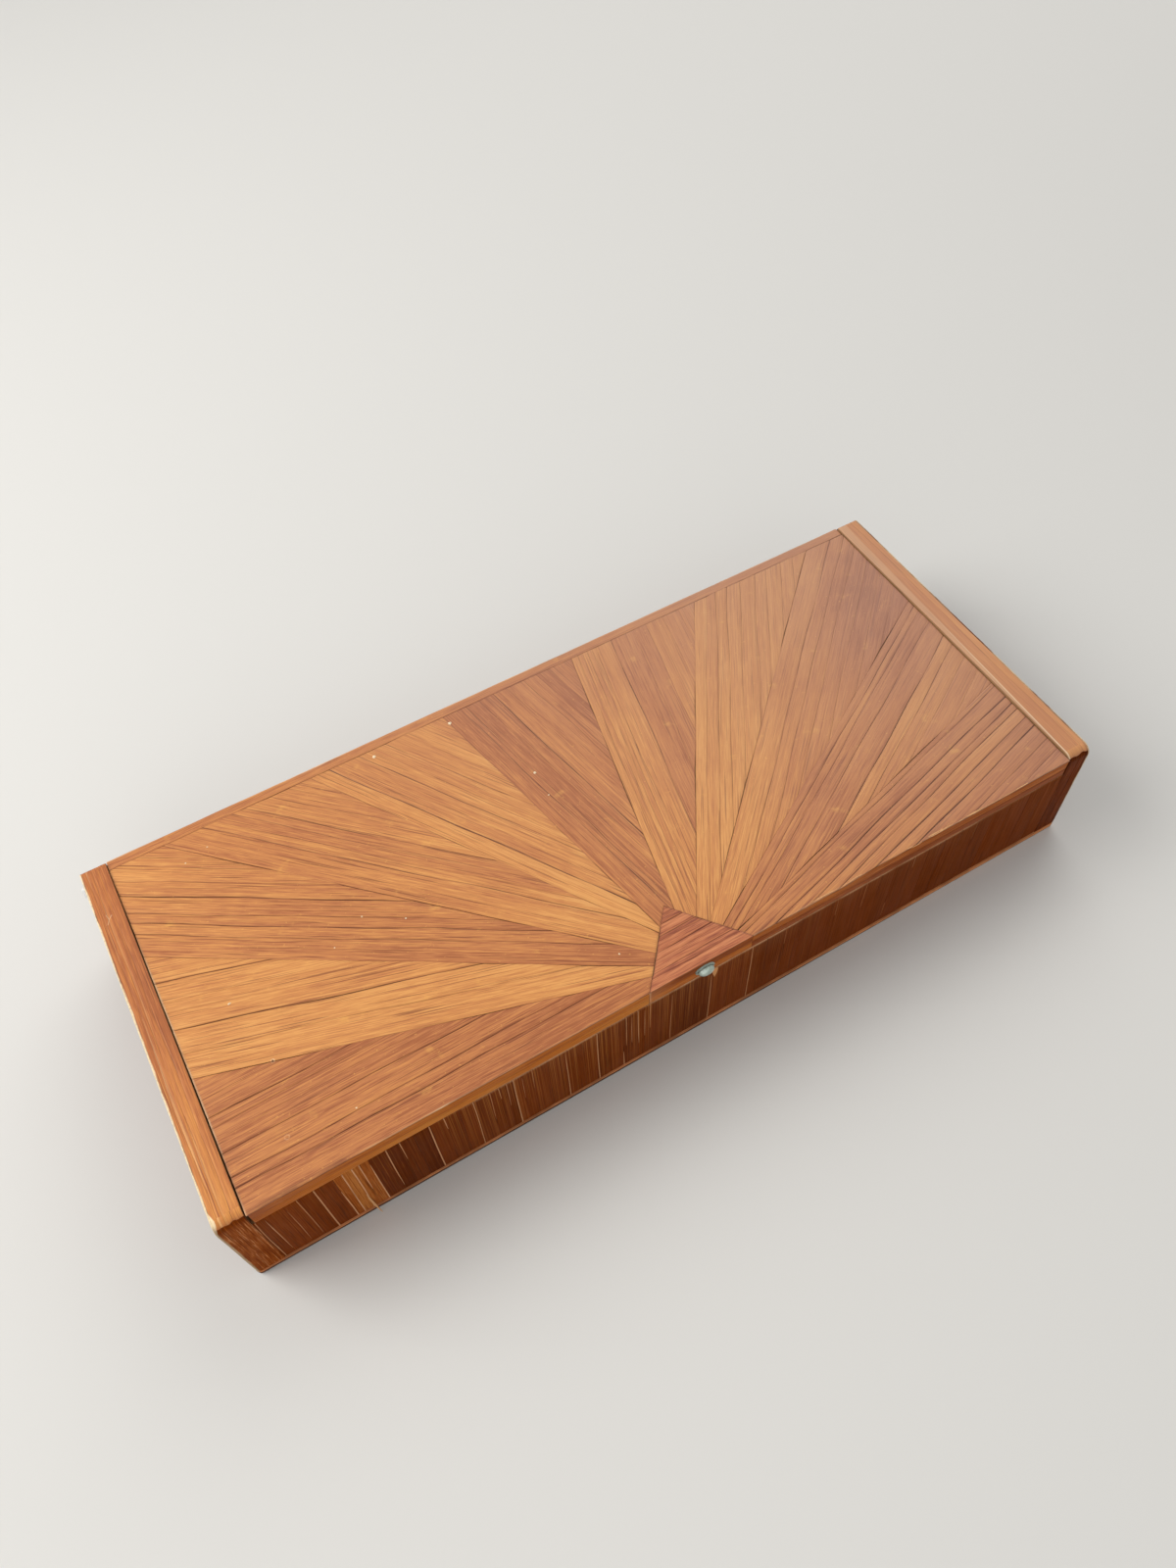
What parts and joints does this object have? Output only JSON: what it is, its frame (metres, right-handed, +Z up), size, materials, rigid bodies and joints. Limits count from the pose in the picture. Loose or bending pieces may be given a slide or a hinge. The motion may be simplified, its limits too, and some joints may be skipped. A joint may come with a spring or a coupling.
{
  "type": "straw marquetry box",
  "caption": "Long low wooden box veneered with straw; its flat lid, with a sunburst of straw rays and a small metal knob, swings up and back on pins through the end boards.",
  "frame": {"origin": "middle of the base board's underside, where the box rests", "axes": "+X along the box, to the right as seen from the front; +Y to the back, where the lid is hinged; +Z up"},
  "size_m": [0.2224, 0.0941, 0.034],
  "materials": {
    "carcass_wood": "bare pale softwood, darkened with age",
    "straw_gold": "satin golden straw",
    "straw_brown": "satin brown straw",
    "straw_red": "satin reddish dyed straw",
    "straw_dark": "satin dark brown straw with pale splits",
    "lining_paper": "matt aged paper",
    "pin_steel": "dull bright steel",
    "knob_metal": "tarnished, with green bloom"
  },
  "bodies": {
    "case": {"base_board": "carcass_wood", "front_wall": "carcass_wood", "back_wall": "carcass_wood", "left_cheek": "carcass_wood", "right_cheek": "carcass_wood", "front_straw": "straw_dark", "back_straw": "straw_dark", "left_end_straw": "straw_dark", "right_end_straw": "straw_dark", "left_cheek_front_straw": "straw_dark", "right_cheek_front_straw": "straw_dark", "left_cheek_back_straw": "straw_dark", "right_cheek_back_straw": "straw_dark", "left_cheek_cap_straw": "straw_gold", "right_cheek_cap_straw": "straw_gold", "floor_lining": "lining_paper", "front_lining": "lining_paper", "back_lining": "lining_paper", "left_lining": "lining_paper", "right_lining": "lining_paper", "left_hinge_pin": "pin_steel", "right_hinge_pin": "pin_steel", "cheek_brads": "pin_steel", "base_brads": "pin_steel"},
    "lid": {"lid_board": "carcass_wood", "lid_ray_01": "straw_brown", "lid_ray_02": "straw_gold", "lid_ray_03": "straw_brown", "lid_ray_04": "straw_gold", "lid_ray_05": "straw_gold", "lid_ray_06": "straw_brown", "lid_ray_07": "straw_gold", "lid_ray_08": "straw_gold", "lid_ray_09": "straw_gold", "lid_ray_10": "straw_brown", "lid_ray_11": "straw_brown", "lid_root_straw": "straw_red", "lid_back_straw": "straw_gold", "lid_front_straw_left": "straw_brown", "lid_front_straw_centre": "straw_brown", "lid_front_straw_right": "straw_brown", "lid_lining": "lining_paper", "lift_knob": "knob_metal"}
  },
  "joints": [
    {"name": "lid_hinge", "type": "hinge", "parent": "case", "child": "lid", "pos_m": [0, 0.0429, 0.0304], "axis": [-1, 0, 0], "range_deg": [0, 180]}
  ]
}
